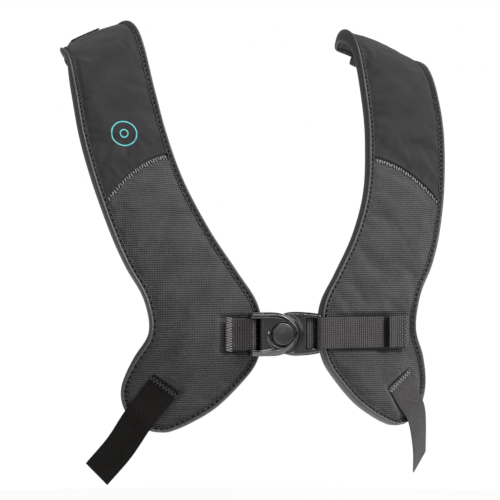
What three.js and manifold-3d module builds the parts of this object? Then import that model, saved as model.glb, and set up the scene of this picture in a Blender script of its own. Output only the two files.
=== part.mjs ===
// A padded shoulder harness in its worn shape: two shaped pads, joined over the chest by webbing and
// a centre-release buckle. Millimetres, +Z up, the wearer's front towards -Y, the wearer's left at +X.
import * as THREE from "three";
import { mergeVertices } from "three/addons/utils/BufferGeometryUtils.js";
import Module from "manifold-3d";

const wasm = await Module();
wasm.setup();

// ---------------------------------------------------------------- driving dimensions

// The wearer's body, as the pads lie on it, from the lower ribs, up the chest and over the shoulder.
// Each point: sideways bow (1/m), depth y, height z. Chest frame: origin at the middle of the chest strap.
const BODY_PROFILE = [
  [2.1, 3, -90],
  [1.95, 3, -45],
  [1.1, 2.5, 0],
  [0.7, 9.5, 48],
  [0.5, 23.5, 96],
  [0.2, 46.5, 144],
  [0, 71, 192],
  [0, 103, 243],
  [0, 142, 255],
  [0, 173, 235],
  [0, 184, 192],
];
const SLOPE_FROM_Z = 170; // the shoulder starts to slope outwards at this height on the chest
const SHOULDER_FALL = 0.32; // how the shoulder falls away towards the arm
const SHOULDER_FALL_GROWTH = 0.002;
const SHOULDER_SWEEP = -0.2;
const SHOULDER_X = 95; // where the shoulder's slope passes through the profile

// The pad's cut outline, as matching points (x, s) on its two long edges, s measured along the profile.
const INNER_EDGE = [
  [97, 10.5], [82, 17], [61, 30], [41, 50], [29, 67], [24.5, 90], [28.5, 114], [43, 138],
  [63, 172], [79, 212], [88.5, 258], [93, 300], [95.5, 345], [97, 390], [102, 416],
];
const OUTER_EDGE = [
  [108, 11], [121.5, 19], [129.5, 33], [130.5, 50], [124, 70], [114, 91], [118.5, 118], [131.5, 143],
  [142, 171], [152.5, 212], [160, 258], [162, 300], [161.5, 345], [157, 390], [148, 416],
];

// Heights of each layer's two faces off the pad's mid-surface.
const LAYERS = { lining: [-4.6, -3.3], core: [-2.8, 2.9], panel: [3.5, 4.7] };
const LAYER_INSET = 3.8; // the layers stop short of the outline, inside the binding
const BINDING_WIDTH = 2.8;
const BINDING_HALF_HEIGHT = 4.9;
const SEAM_INNER = 0.686; // share of the edge at which the two front panels meet
const SEAM_OUTER = 0.617;
const SEAM_BULGE = 0.012; // the seam is a shallow arc
const SEAM_GAP = 0.0012;
const SEAM_TAPE_WIDTH = 3.5;
const TRIM_THICKNESS = 0.6;
const GAP = 0.3;

const WEBBING = 25; // width of all webbing
const WEBBING_THICKNESS = 1.4;
const FACE = 5; // webbing lies this far off the pad's mid-surface

// The buckle. Depths are measured from its chest face towards the front.
const BUCKLE_BACK_Y = -2.4;
const BUCKLE_Z = -1.1;
const BAR_X = -36.2; // the round bar that the right webbing loops around
const BAR_DEPTH = 4;
const BAR_RADIUS = 1.9;
const SOCKET_LEFT_X = -38.6;
const SOCKET_BODY_X = -30.2; // the slot for the webbing lies between the bar and this edge
const SOCKET_CENTRE_X = -20; // the nose is half an ellipse about this point
const SOCKET_NOSE = 21.3;
const SOCKET_HALF = 17.3;
const SOCKET_BASE_DEPTH = 7.5;
const COVER_DEPTHS = [7.8, 9.5];
const RIM_WIDTH = 3;
const RIM_TOP = 11.4;
const BUTTON_X = -12.4;
const BUTTON_RADIUS = 9;
const CRESCENT_RADIUS = 10.9; // a low ridge round the button
const BUTTON_DEPTHS = [9.8, 12];
const STEM_DEPTH = 7.2;
const LATCH_DEPTHS = [4.4, 5.2];
const BOSS_TOP = 6.9;
const SPRING_DEPTHS = [1.5, 4.1];
const TONGUE_DEPTHS = [5.5, 7.3];
const TONGUE_HALF = 9;
const TONGUE_END_X = -24.2;
const FORK_ROOT_X = -4.2;
const PRONG_INNER = 5.2;
const HOOK_INNER = 3.6;
const HOOK_LENGTH = 3;
const PLUG_DEPTHS = [1, 9.8];
const PLUG_LEFT_X = -8.6;
const PLUG_HALF = 17.4;
const PLUG_END_X = 21.2;
const SIDE_CLEARANCE = 0.5; // between the plug and the sides of the socket
const NOSE_CLEARANCE = 1.9;
const WINDOW_X = [7.5, 17.6]; // the plug's opening, with the adjuster bar across it
const ADJUSTER_BAR_X = [10, 13.7];
const ADJUSTER_BAR_DEPTHS = [3.2, 5.4];
const SLOT_HALF = 12.7; // half the height of every slot that webbing passes through
const STRAP_START_X = 17; // where the straps leave the adjuster

const SHOULDER_ORIGIN = [0, 125, 250]; // between the two shoulder crests, in the chest frame

// ---------------------------------------------------------------- curves and surfaces

// Catmull-Rom value at t in [0, 1] through points of any number of coordinates.
function spline(points, t) {
  const last = points.length - 1;
  const place = Math.min(Math.max(t, 0), 1) * last;
  const i = Math.min(Math.floor(place), last - 1);
  const f = place - i;
  const at = (k) => points[Math.min(Math.max(k, 0), last)];
  return points[i].map((_, axis) => {
    const [a, b, c, d] = [at(i - 1)[axis], at(i)[axis], at(i + 1)[axis], at(i + 2)[axis]];
    const before = i === 0 ? 2 * b - c : a;
    const after = i === last - 1 ? 2 * c - b : d;
    const startSlope = (c - before) / 2;
    const endSlope = (after - b) / 2;
    return (
      (2 * b - 2 * c + startSlope + endSlope) * f ** 3 +
      (3 * c - 3 * b - 2 * startSlope - endSlope) * f ** 2 +
      startSlope * f +
      b
    );
  });
}

// Lengths along the body profile, so that it can be read by s.
const PROFILE_STEPS = 600;
const profileLengths = [0];
const profilePoints = [spline(BODY_PROFILE, 0)];
for (let step = 1; step <= PROFILE_STEPS; step++) {
  const point = spline(BODY_PROFILE, step / PROFILE_STEPS);
  const from = profilePoints[step - 1];
  profilePoints.push(point);
  profileLengths.push(profileLengths[step - 1] + Math.hypot(...point.map((v, axis) => v - from[axis])));
}

function profileAt(s) {
  let low = 0;
  let high = PROFILE_STEPS;
  while (high - low > 1) {
    const middle = (low + high) >> 1;
    if (profileLengths[middle] > s) high = middle;
    else low = middle;
  }
  const f = (s - profileLengths[low]) / (profileLengths[high] - profileLengths[low]);
  return profilePoints[low].map((v, axis) => v + (profilePoints[high][axis] - v) * f);
}

const profileHeights = profilePoints.map((point) => point[2]);
const crestStep = profileHeights.indexOf(Math.max(...profileHeights));
const slopeStep = profilePoints.findIndex((point) => point[2] > SLOPE_FROM_Z);
const slopeStart = profileLengths[slopeStep];
const slopeLength = profileLengths[crestStep] - slopeStart;

// The pad's mid-surface at x and s, on the wearer's left.
function midSurface(x, s) {
  const [bow, y, z] = profileAt(s);
  const w = THREE.MathUtils.smoothstep((s - slopeStart) / slopeLength, 0, 1);
  const off = x - SHOULDER_X;
  const depth = y + (bow / 1000) * x * x + w * SHOULDER_SWEEP * off;
  const height = z - w * (SHOULDER_FALL * off + SHOULDER_FALL_GROWTH * off * Math.abs(off));
  return new THREE.Vector3(x, depth, height);
}

function surfaceNormal(x, s) {
  const across = midSurface(x + 1, s).sub(midSurface(x - 1, s));
  const along = midSurface(x, s + 1).sub(midSurface(x, s - 1));
  return across.cross(along).normalize();
}

const onPad = (x, s, h) => midSurface(x, s).addScaledVector(surfaceNormal(x, s), h);

// A point of one long edge at t, moved into the pad by inset. side is 1 on the inner edge, -1 on the outer.
function edgePoint(edge, t, inset, side) {
  const step = 0.004;
  const [x, s] = spline(edge, t);
  const ahead = spline(edge, Math.min(t + step, 1));
  const behind = spline(edge, Math.max(t - step, 0));
  const [dx, ds] = [ahead[0] - behind[0], ahead[1] - behind[1]];
  const length = Math.hypot(dx, ds);
  const end = edge[edge.length - 1][1] - inset;
  return [x + (side * inset * ds) / length, Math.min(s - (side * inset * dx) / length, end)];
}

const patternPoint = (u, t, inset) => {
  const inner = edgePoint(INNER_EDGE, t, inset, 1);
  const outer = edgePoint(OUTER_EDGE, t, inset, -1);
  return [inner[0] + (outer[0] - inner[0]) * u, inner[1] + (outer[1] - inner[1]) * u];
};

// ---------------------------------------------------------------- geometry helpers

const harness = new THREE.Group();
const chest = new THREE.Group();
chest.position.set(...SHOULDER_ORIGIN).negate();
harness.add(chest);

function finish(color, roughness, metalness = 0) {
  return new THREE.MeshStandardMaterial({ color, roughness, metalness });
}

const MATERIALS = {
  upper: finish(0x363538, 0.85),
  lower: finish(0x4b4849, 0.9),
  lining: finish(0x222224, 0.95),
  foam: finish(0x2b2b2d, 0.95),
  binding: finish(0x3a393a, 0.8),
  webbing: finish(0x262220, 0.8),
  stitching: finish(0x1a1a1a, 0.7),
  plastic: finish(0x2a2a2b, 0.45),
  steel: finish(0x9a9a9a, 0.3, 1),
  print: finish(0x3fa3a5, 0.6),
};

function addPiece(name, geometry, material) {
  const mesh = new THREE.Mesh(geometry, material);
  mesh.name = name;
  chest.add(mesh);
}

// Moves every vertex of a geometry to where place says.
function shaped(geometry, place) {
  const position = geometry.getAttribute("position");
  const vertex = new THREE.Vector3();
  for (let i = 0; i < position.count; i++) {
    vertex.fromBufferAttribute(position, i);
    const moved = place(vertex.x, vertex.y, vertex.z);
    position.setXYZ(i, moved.x, moved.y, moved.z);
  }
  return geometry;
}

// The same piece for the wearer's other side.
function mirrored(geometry) {
  const copy = geometry.clone();
  copy.scale(-1, 1, 1);
  if (!copy.index) copy.setIndex([...Array(copy.getAttribute("position").count).keys()]);
  const index = copy.index.array;
  for (let i = 0; i < index.length; i += 3) [index[i + 1], index[i + 2]] = [index[i + 2], index[i + 1]];
  return copy;
}

// build gives the piece for the wearer's left, at +X.
function addPair(name, build, material) {
  const geometry = build();
  addPiece("left_" + name, geometry, material);
  addPiece("right_" + name, mirrored(geometry), material);
}

// A closed sheet of columns by rows cells; place(u, v, side) gives the corner on its low or high side,
// and the high side faces along the cross product of the u and v directions.
function slab(columns, rows, place) {
  const positions = [];
  for (const side of [0, 1])
    for (let j = 0; j <= rows; j++)
      for (let i = 0; i <= columns; i++) positions.push(...place(i / columns, j / rows, side));
  const at = (side, i, j) => (side * (rows + 1) + j) * (columns + 1) + i;
  const index = [];
  const quad = (a, b, c, d) => index.push(a, b, c, a, c, d);
  for (let j = 0; j < rows; j++)
    for (let i = 0; i < columns; i++) {
      quad(at(1, i, j), at(1, i + 1, j), at(1, i + 1, j + 1), at(1, i, j + 1));
      quad(at(0, i + 1, j + 1), at(0, i + 1, j), at(0, i, j), at(0, i, j + 1));
    }
  for (let i = 0; i < columns; i++) {
    quad(at(0, i, 0), at(0, i + 1, 0), at(1, i + 1, 0), at(1, i, 0));
    quad(at(0, i + 1, rows), at(0, i, rows), at(1, i, rows), at(1, i + 1, rows));
  }
  for (let j = 0; j < rows; j++) {
    quad(at(0, 0, j + 1), at(0, 0, j), at(1, 0, j), at(1, 0, j + 1));
    quad(at(0, columns, j), at(0, columns, j + 1), at(1, columns, j + 1), at(1, columns, j));
  }
  return indexed(positions, index);
}

function indexed(positions, index) {
  const geometry = new THREE.BufferGeometry();
  geometry.setAttribute("position", new THREE.Float32BufferAttribute(positions, 3));
  geometry.setIndex(index);
  return geometry;
}

function outline(points) {
  return new THREE.Shape(points.map(([x, y]) => new THREE.Vector2(x, y)));
}

// A shape in x and z, given thickness towards the front between two depths of the buckle.
function plate(shape, [fromDepth, toDepth]) {
  const geometry = new THREE.ExtrudeGeometry(shape, {
    depth: toDepth - fromDepth,
    bevelEnabled: false,
    curveSegments: 14,
  });
  geometry.rotateX(Math.PI / 2);
  return geometry.translate(0, BUCKLE_BACK_Y - fromDepth, BUCKLE_Z);
}

function block([x0, x1], [depth0, depth1], halfHeight) {
  const geometry = new THREE.BoxGeometry(x1 - x0, depth1 - depth0, 2 * halfHeight);
  return geometry.translate((x0 + x1) / 2, BUCKLE_BACK_Y - (depth0 + depth1) / 2, BUCKLE_Z);
}

// A disc or drum about the button's axis.
function drum(radius, [depth0, depth1]) {
  const geometry = new THREE.CylinderGeometry(radius, radius, depth1 - depth0, 32);
  return geometry.translate(BUTTON_X, BUCKLE_BACK_Y - (depth0 + depth1) / 2, BUCKLE_Z);
}

function solid(geometry) {
  const bare = geometry.clone();
  bare.deleteAttribute("normal");
  bare.deleteAttribute("uv");
  const merged = mergeVertices(bare, 1e-4);
  return new wasm.Manifold(
    new wasm.Mesh({
      numProp: 3,
      vertProperties: new Float32Array(merged.getAttribute("position").array),
      triVerts: new Uint32Array(merged.index.array),
    }),
  );
}

function cut(body, ...geometries) {
  return geometries.map(solid).reduce((rest, tool) => rest.subtract(tool), body);
}

function meshOf(manifold) {
  const mesh = manifold.getMesh();
  return indexed([...mesh.vertProperties], [...mesh.triVerts]);
}

// ---------------------------------------------------------------- pads

const COLUMNS = 4;
const ROWS = 32;

// All layers share these rows over the outline, so that their facets stay parallel.
const gridRows = (from, to) => Array.from({ length: to - from + 1 }, (_, i) => () => (from + i) / ROWS);

// One layer of the pad between two heights; each row is a function from u to the place along the outline.
function padLayer([low, high], rows) {
  return slab(COLUMNS, rows.length - 1, (u, v, side) => {
    const t = rows[Math.round(v * (rows.length - 1))](u);
    const [x, s] = patternPoint(u, t, LAYER_INSET);
    return onPad(x, s, side ? high : low);
  });
}

const seamAt = (u) => SEAM_INNER + (SEAM_OUTER - SEAM_INNER) * u + SEAM_BULGE * 4 * u * (1 - u);
const wholePad = gridRows(0, ROWS);
const lowerRows = [...gridRows(0, 19), (u) => (19 / ROWS + seamAt(u)) / 2, (u) => seamAt(u) - SEAM_GAP];
const upperRows = [seamAt, ...gridRows(23, ROWS)];

// The binding: a closed rim with a square section, all the way round the outline.
function bindingRim() {
  const perSide = ROWS;
  const turns = 2 * (perSide + 1);
  const half = BINDING_HALF_HEIGHT;
  const section = [[0, -half], [0, half], [BINDING_WIDTH, half], [BINDING_WIDTH, -half]];
  const positions = [];
  const index = [];
  for (let turn = 0; turn < turns; turn++) {
    const onInner = turn <= perSide;
    const edge = onInner ? INNER_EDGE : OUTER_EDGE;
    const t = (onInner ? turn : turns - 1 - turn) / perSide;
    for (const [inset, h] of section) {
      const [x, s] = edgePoint(edge, t, inset, onInner ? 1 : -1);
      positions.push(...onPad(x, s, h));
    }
    const next = (turn + 1) % turns;
    for (let corner = 0; corner < section.length; corner++) {
      const beside = (corner + 1) % section.length;
      const [a, b] = [turn * section.length + corner, turn * section.length + beside];
      const [c, d] = [next * section.length + corner, next * section.length + beside];
      index.push(a, b, c, b, d, c);
    }
  }
  return indexed(positions, index);
}

// A narrow strip on the face of the pad, over the lower side of the seam.
function seamTape() {
  const low = LAYERS.panel[1] + GAP;
  return slab(10, 1, (u, v, side) => {
    const [x, s] = patternPoint(u, seamAt(u), LAYER_INSET + 0.5);
    return onPad(x, s - (1 - v) * SEAM_TAPE_WIDTH, low + side * TRIM_THICKNESS);
  });
}

addPair("foam_core", () => padLayer(LAYERS.core, wholePad), MATERIALS.foam);
addPair("lining", () => padLayer(LAYERS.lining, wholePad), MATERIALS.lining);
addPair("lower_panel", () => padLayer(LAYERS.panel, lowerRows), MATERIALS.lower);
addPair("upper_panel", () => padLayer(LAYERS.panel, upperRows), MATERIALS.upper);
addPair("edge_binding", bindingRim, MATERIALS.binding);
addPair("seam_tape", seamTape, MATERIALS.stitching);

// The round mark printed on the wearer's right pad.
const EMBLEM = { x: 125.2, s: 256, radius: 11.6 };
function emblem() {
  const disc = new THREE.CylinderGeometry(EMBLEM.radius, EMBLEM.radius, TRIM_THICKNESS, 32);
  return shaped(disc, (x, y, z) => onPad(EMBLEM.x + x, EMBLEM.s - z, FACE + 0.3 + y));
}
addPiece("emblem", mirrored(emblem()), MATERIALS.print);

// ---------------------------------------------------------------- lower webbing

// Each lower webbing leaves the face of the pad and wraps back round the ribs: place and facing.
const LOWER_WEBBING = [
  [onPad(98.5, 50.5, 5.1), surfaceNormal(98.5, 50.5)],
  [onPad(108.5, 35, 5.2), surfaceNormal(108.5, 35)],
  [onPad(118.5, 20, 6), surfaceNormal(118.5, 20)],
  [new THREE.Vector3(131, 42, -92), new THREE.Vector3(0.6, -0.78, -0.15)],
  [new THREE.Vector3(142.5, 67, -115), new THREE.Vector3(0.7, -0.6, -0.33)],
];
const lowerPlaces = LOWER_WEBBING.map(([place]) => place.toArray());
const lowerNormals = LOWER_WEBBING.map(([, normal]) => normal.toArray());

// A point on the lower webbing: t along it, across in millimetres, and height off its chest side.
function onLowerWebbing(t, across, height) {
  const step = 0.01;
  const place = new THREE.Vector3(...spline(lowerPlaces, t));
  const ahead = new THREE.Vector3(...spline(lowerPlaces, Math.min(t + step, 1)));
  const behind = new THREE.Vector3(...spline(lowerPlaces, Math.max(t - step, 0)));
  const along = ahead.sub(behind).normalize();
  const normal = new THREE.Vector3(...spline(lowerNormals, t));
  normal.addScaledVector(along, -normal.dot(along)).normalize();
  const side = normal.clone().cross(along);
  return place.addScaledVector(side, across).addScaledVector(normal, height);
}

addPair(
  "lower_webbing",
  () => slab(14, 2, (u, v, side) => onLowerWebbing(u, (v - 0.5) * WEBBING, side * WEBBING_THICKNESS)),
  MATERIALS.webbing,
);
const LOWER_TACK = [0.02, 0.07];
addPair(
  "lower_bar_tack",
  () =>
    slab(1, 4, (u, v, side) => {
      const t = LOWER_TACK[0] + u * (LOWER_TACK[1] - LOWER_TACK[0]);
      return onLowerWebbing(t, (v - 0.5) * (WEBBING + 2), WEBBING_THICKNESS + GAP + side * TRIM_THICKNESS);
    }),
  MATERIALS.stitching,
);

// ---------------------------------------------------------------- rear loops

// A loop of webbing sewn round the rear end of each pad, open between the pad and its fold.
const REAR_LOOP_X = 131;
const REAR_SEWN_S = 396;
const REAR_FOLD_S = 420;
const REAR_RADIUS = FACE + 0.8;
function rearLoop() {
  const straight = 4;
  const bend = 9;
  const path = [];
  const sewnAt = (step) => REAR_SEWN_S + ((REAR_FOLD_S - REAR_SEWN_S) * step) / straight;
  for (let step = 0; step < straight; step++) path.push([sewnAt(step), 90]);
  for (let step = 0; step <= bend; step++) path.push([REAR_FOLD_S, 90 - (180 * step) / bend]);
  for (let step = straight - 1; step >= 0; step--) path.push([sewnAt(step), -90]);
  return slab(1, path.length - 1, (u, v, side) => {
    const [s, degrees] = path[Math.round(v * (path.length - 1))];
    const radius = REAR_RADIUS + side * WEBBING_THICKNESS;
    const angle = THREE.MathUtils.degToRad(degrees);
    return onPad(REAR_LOOP_X + (u - 0.5) * WEBBING, s + radius * Math.cos(angle), radius * Math.sin(angle));
  });
}
addPair("rear_loop", rearLoop, MATERIALS.webbing);
const REAR_TACK_S = [398, 402];
addPair(
  "rear_bar_tack",
  () =>
    slab(1, 1, (u, v, side) => {
      const low = REAR_RADIUS + WEBBING_THICKNESS + GAP;
      const s = REAR_TACK_S[0] + v * (REAR_TACK_S[1] - REAR_TACK_S[0]);
      return onPad(REAR_LOOP_X + (u - 0.5) * (WEBBING - 1), s, low + side * TRIM_THICKNESS);
    }),
  MATERIALS.stitching,
);

// ---------------------------------------------------------------- chest webbing on the right pad

const BAR_Y = BUCKLE_BACK_Y - BAR_DEPTH;
const STRAP_HALF = WEBBING / 2;

// A shape in x and y, given the height of the chest strap.
function upright(shape, half) {
  const geometry = new THREE.ExtrudeGeometry(shape, {
    depth: 2 * half,
    bevelEnabled: false,
    curveSegments: 14,
  });
  return geometry.translate(0, 0, BUCKLE_Z - half);
}

// The webbing is sewn to the pad and loops round the buckle's bar.
const loopShape = new THREE.Shape();
const loopRadius = BAR_RADIUS + GAP + WEBBING_THICKNESS;
const [loopFrom, loopTo] = [-125, 110].map(THREE.MathUtils.degToRad);
loopShape.moveTo(-58, -0.7);
loopShape.lineTo(-48, -3.3);
loopShape.absarc(BAR_X, BAR_Y, loopRadius, loopFrom, loopTo, false);
loopShape.lineTo(-48, -0.6);
loopShape.lineTo(-58, 0.9);
const barHole = new THREE.Path();
barHole.absarc(BAR_X, BAR_Y, BAR_RADIUS + GAP, 0, 2 * Math.PI, true);
loopShape.holes.push(barHole);
addPiece("right_chest_webbing", upright(loopShape, STRAP_HALF), MATERIALS.webbing);

const rightTack = outline([[-54.6, -2.5], [-50.2, -3.6], [-50.2, -3.05], [-54.6, -1.95]]);
addPiece("right_chest_bar_tack", upright(rightTack, STRAP_HALF + 1), MATERIALS.stitching);

// ---------------------------------------------------------------- chest straps on the left pad

const CHEST_S = 90;
const STRAP_PLUG_Y = BUCKLE_BACK_Y - 1;
// Chest side of the lowest strap: from the adjuster, it settles onto the face of the pad.
function strapY(x) {
  const face = midSurface(x, CHEST_S).y - FACE - 0.25;
  const settled = THREE.MathUtils.smoothstep(x, 20.5, 36.5);
  return STRAP_PLUG_Y + (face - STRAP_PLUG_Y) * settled;
}

// A strap from x0 to x1, raised off the pad by rise.
function chestStrap([x0, x1], rise, thickness, half, columns) {
  return slab(columns, 1, (u, v, side) => {
    const x = x0 + u * (x1 - x0);
    return new THREE.Vector3(x, strapY(x) - rise - side * thickness, BUCKLE_Z + (2 * v - 1) * half);
  });
}

const TAIL_RISE = WEBBING_THICKNESS + GAP;
const HEM_X = [81.7, 89.1];
const HEM_THICKNESS = 2.6;
const LIP_X = 84.6;
const KEEPER_END_X = 106.3;
addPiece(
  "left_chest_strap",
  chestStrap([STRAP_START_X, KEEPER_END_X], 0, WEBBING_THICKNESS, STRAP_HALF, 20),
  MATERIALS.webbing,
);
addPiece(
  "tail_strap",
  chestStrap([STRAP_START_X, HEM_X[0] - GAP], TAIL_RISE, WEBBING_THICKNESS, STRAP_HALF, 16),
  MATERIALS.webbing,
);
addPiece("tail_hem", chestStrap(HEM_X, TAIL_RISE, HEM_THICKNESS, STRAP_HALF, 2), MATERIALS.webbing);

// The keeper is sewn down at its outer end; its folded lip holds the tail's hem.
const lipLow = TAIL_RISE + HEM_THICKNESS + GAP;
const lipHigh = lipLow + 2.4;
const flatHigh = TAIL_RISE + WEBBING_THICKNESS;
const lipRootX = HEM_X[1] + 0.7;
const keeperShape = outline([
  [LIP_X, lipLow], [lipRootX, lipLow], [lipRootX, TAIL_RISE], [KEEPER_END_X, TAIL_RISE],
  [KEEPER_END_X, flatHigh], [lipRootX + 5, flatHigh], [lipRootX + 2, lipHigh], [LIP_X + 1, lipHigh],
  [LIP_X, lipHigh - 0.8],
]);
const KEEPER_HALF = STRAP_HALF + 0.4;
const keeper = new THREE.ExtrudeGeometry(keeperShape, { depth: 2 * KEEPER_HALF, bevelEnabled: false });
addPiece(
  "strap_keeper",
  shaped(keeper, (x, rise, z) => new THREE.Vector3(x, strapY(x) - rise, BUCKLE_Z + KEEPER_HALF - z)),
  MATERIALS.webbing,
);
addPiece(
  "keeper_bar_tack",
  chestStrap([KEEPER_END_X - 5, KEEPER_END_X - 1], flatHigh + GAP, TRIM_THICKNESS, STRAP_HALF, 1),
  MATERIALS.stitching,
);

// ---------------------------------------------------------------- buckle socket

// The socket seen from the front, grown by margin: two arms and a nose that is half an ellipse.
function socketShape(margin, noseMargin = margin) {
  const half = SOCKET_HALF + margin;
  const left = SOCKET_LEFT_X - margin;
  const corner = 3;
  const shape = new THREE.Shape();
  shape.moveTo(left + corner, -half);
  shape.lineTo(SOCKET_CENTRE_X, -half);
  shape.absellipse(SOCKET_CENTRE_X, 0, SOCKET_NOSE + noseMargin, half, -Math.PI / 2, Math.PI / 2, false);
  shape.lineTo(left + corner, half);
  shape.quadraticCurveTo(left, half, left, half - corner);
  shape.lineTo(left, corner - half);
  shape.quadraticCurveTo(left, -half, left + corner, -half);
  return shape;
}

const throughDepths = [-1, 14];
const webbingWindow = () => block([SOCKET_LEFT_X - 1, SOCKET_BODY_X], throughDepths, SLOT_HALF);
const bar = new THREE.CylinderGeometry(BAR_RADIUS, BAR_RADIUS, 2 * SLOT_HALF + 2, 20);
bar.rotateX(Math.PI / 2).translate(BAR_X, BAR_Y, BUCKLE_Z);
const trayFloor = 1.2;
const tongueRoom = block([TONGUE_END_X - 2, 4], [trayFloor, 14], TONGUE_HALF + 0.6);
const socketBase = cut(solid(plate(socketShape(0), [0, SOCKET_BASE_DEPTH])), webbingWindow(), tongueRoom);
addPiece("socket_base", meshOf(socketBase.add(solid(bar))), MATERIALS.plastic);

const rim = cut(
  solid(plate(socketShape(0), [COVER_DEPTHS[0], RIM_TOP])),
  plate(socketShape(-RIM_WIDTH), [COVER_DEPTHS[1], 14]),
  drum(BUTTON_RADIUS + 0.4, throughDepths),
  webbingWindow(),
);
const crescent = cut(solid(drum(CRESCENT_RADIUS, [9, 10.3])), drum(BUTTON_RADIUS + 0.4, throughDepths));
addPiece("socket_cover", meshOf(rim.add(crescent)), MATERIALS.plastic);

// ---------------------------------------------------------------- release button, latch and spring

const capEdge = 0.7;
const capProfile = [
  [0, STEM_DEPTH], [2.2, STEM_DEPTH], [2.2, BUTTON_DEPTHS[0]], [BUTTON_RADIUS, BUTTON_DEPTHS[0]],
  [BUTTON_RADIUS, BUTTON_DEPTHS[1] - capEdge], [BUTTON_RADIUS - capEdge, BUTTON_DEPTHS[1]],
  [BUTTON_RADIUS - 2.5, BUTTON_DEPTHS[1] - 0.3], [0, BUTTON_DEPTHS[1] - 0.9],
];
const cap = new THREE.LatheGeometry(capProfile.map(([r, depth]) => new THREE.Vector2(r, depth)), 32);
cap.rotateX(Math.PI).translate(BUTTON_X, BUCKLE_BACK_Y, BUCKLE_Z);
addPiece("push_button", cap, MATERIALS.plastic);

const latchPlate = solid(block([BUTTON_X - 5.5, BUTTON_X + 5.5], LATCH_DEPTHS, 5));
const latchBoss = solid(drum(3, [LATCH_DEPTHS[1] - 0.2, BOSS_TOP]));
addPiece("latch_plate", meshOf(latchPlate.add(latchBoss)), MATERIALS.steel);

const WIRE_RADIUS = 0.25;
const COIL_RADIUS = 3;
const COIL_TURNS = 3;
class Coil extends THREE.Curve {
  getPoint(t, target = new THREE.Vector3()) {
    const angle = 2 * Math.PI * COIL_TURNS * t;
    const depth = THREE.MathUtils.lerp(SPRING_DEPTHS[0] + WIRE_RADIUS, SPRING_DEPTHS[1] - WIRE_RADIUS, t);
    const [dx, dz] = [COIL_RADIUS * Math.cos(angle), COIL_RADIUS * Math.sin(angle)];
    return target.set(BUTTON_X + dx, BUCKLE_BACK_Y - depth, BUCKLE_Z + dz);
  }
}
const wire = new THREE.Shape();
wire.absarc(0, 0, WIRE_RADIUS, 0, 2 * Math.PI, false);
addPiece(
  "button_spring",
  new THREE.ExtrudeGeometry(wire, { steps: 54, extrudePath: new Coil(), curveSegments: 3 }),
  MATERIALS.steel,
);

// ---------------------------------------------------------------- buckle plug

// The plug hugs the socket's nose on one side and carries the strap adjuster on the other.
const plugShape = new THREE.Shape();
plugShape.moveTo(PLUG_LEFT_X, -15.9);
plugShape.quadraticCurveTo(-5.5, -PLUG_HALF, -1, -PLUG_HALF);
plugShape.quadraticCurveTo(11, -PLUG_HALF, PLUG_END_X - 2, -15.7);
plugShape.quadraticCurveTo(PLUG_END_X, -15.4, PLUG_END_X, -13.4);
plugShape.lineTo(PLUG_END_X, 13.4);
plugShape.quadraticCurveTo(PLUG_END_X, 15.4, PLUG_END_X - 2, 15.7);
plugShape.quadraticCurveTo(11, PLUG_HALF, -1, PLUG_HALF);
plugShape.quadraticCurveTo(-5.5, PLUG_HALF, PLUG_LEFT_X, 15.9);
const plugBlank = cut(
  solid(plate(plugShape, PLUG_DEPTHS)),
  plate(socketShape(SIDE_CLEARANCE, NOSE_CLEARANCE), throughDepths),
  block(WINDOW_X, throughDepths, SLOT_HALF),
  block([WINDOW_X[0], PLUG_END_X + 1], [-1, 4.9], SLOT_HALF),
);
// A fork whose prongs pass on both sides of the latch, with a hook inside each tip.
const fork = cut(
  solid(block([TONGUE_END_X, WINDOW_X[0] - 0.5], TONGUE_DEPTHS, TONGUE_HALF)),
  block([TONGUE_END_X + HOOK_LENGTH, FORK_ROOT_X], throughDepths, PRONG_INNER),
  block([TONGUE_END_X - 1, TONGUE_END_X + HOOK_LENGTH + 1], throughDepths, HOOK_INNER),
);
const adjusterBar = solid(block(ADJUSTER_BAR_X, ADJUSTER_BAR_DEPTHS, SLOT_HALF + 0.6));
addPiece("buckle_plug", meshOf(plugBlank.add(fork).add(adjusterBar)), MATERIALS.plastic);

// The strap's turn over the adjuster bar: in along the back, round the bar and down again.
const wrapTurn = [
  [16.7, 1], [9.2, 1], [7.8, 1.9], [7.8, 6.6], [8.9, 7.7], [13.7, 7.7], [15.5, 6.2], [15.5, 4.5],
  [16.7, 4.1], [16.7, 2.7], [15, 2.7], [14.1, 3.6], [14.1, 5.6], [13.3, 6.2], [9.7, 6.2], [9.2, 5.6],
  [9.2, 2.7], [9.5, 2.4], [16.7, 2.4],
];
const wrapShape = outline(wrapTurn.map(([x, depth]) => [x, BUCKLE_BACK_Y - depth]));
addPiece("adjuster_wrap", upright(wrapShape, STRAP_HALF), MATERIALS.webbing);

export default harness;
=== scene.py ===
import math

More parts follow.
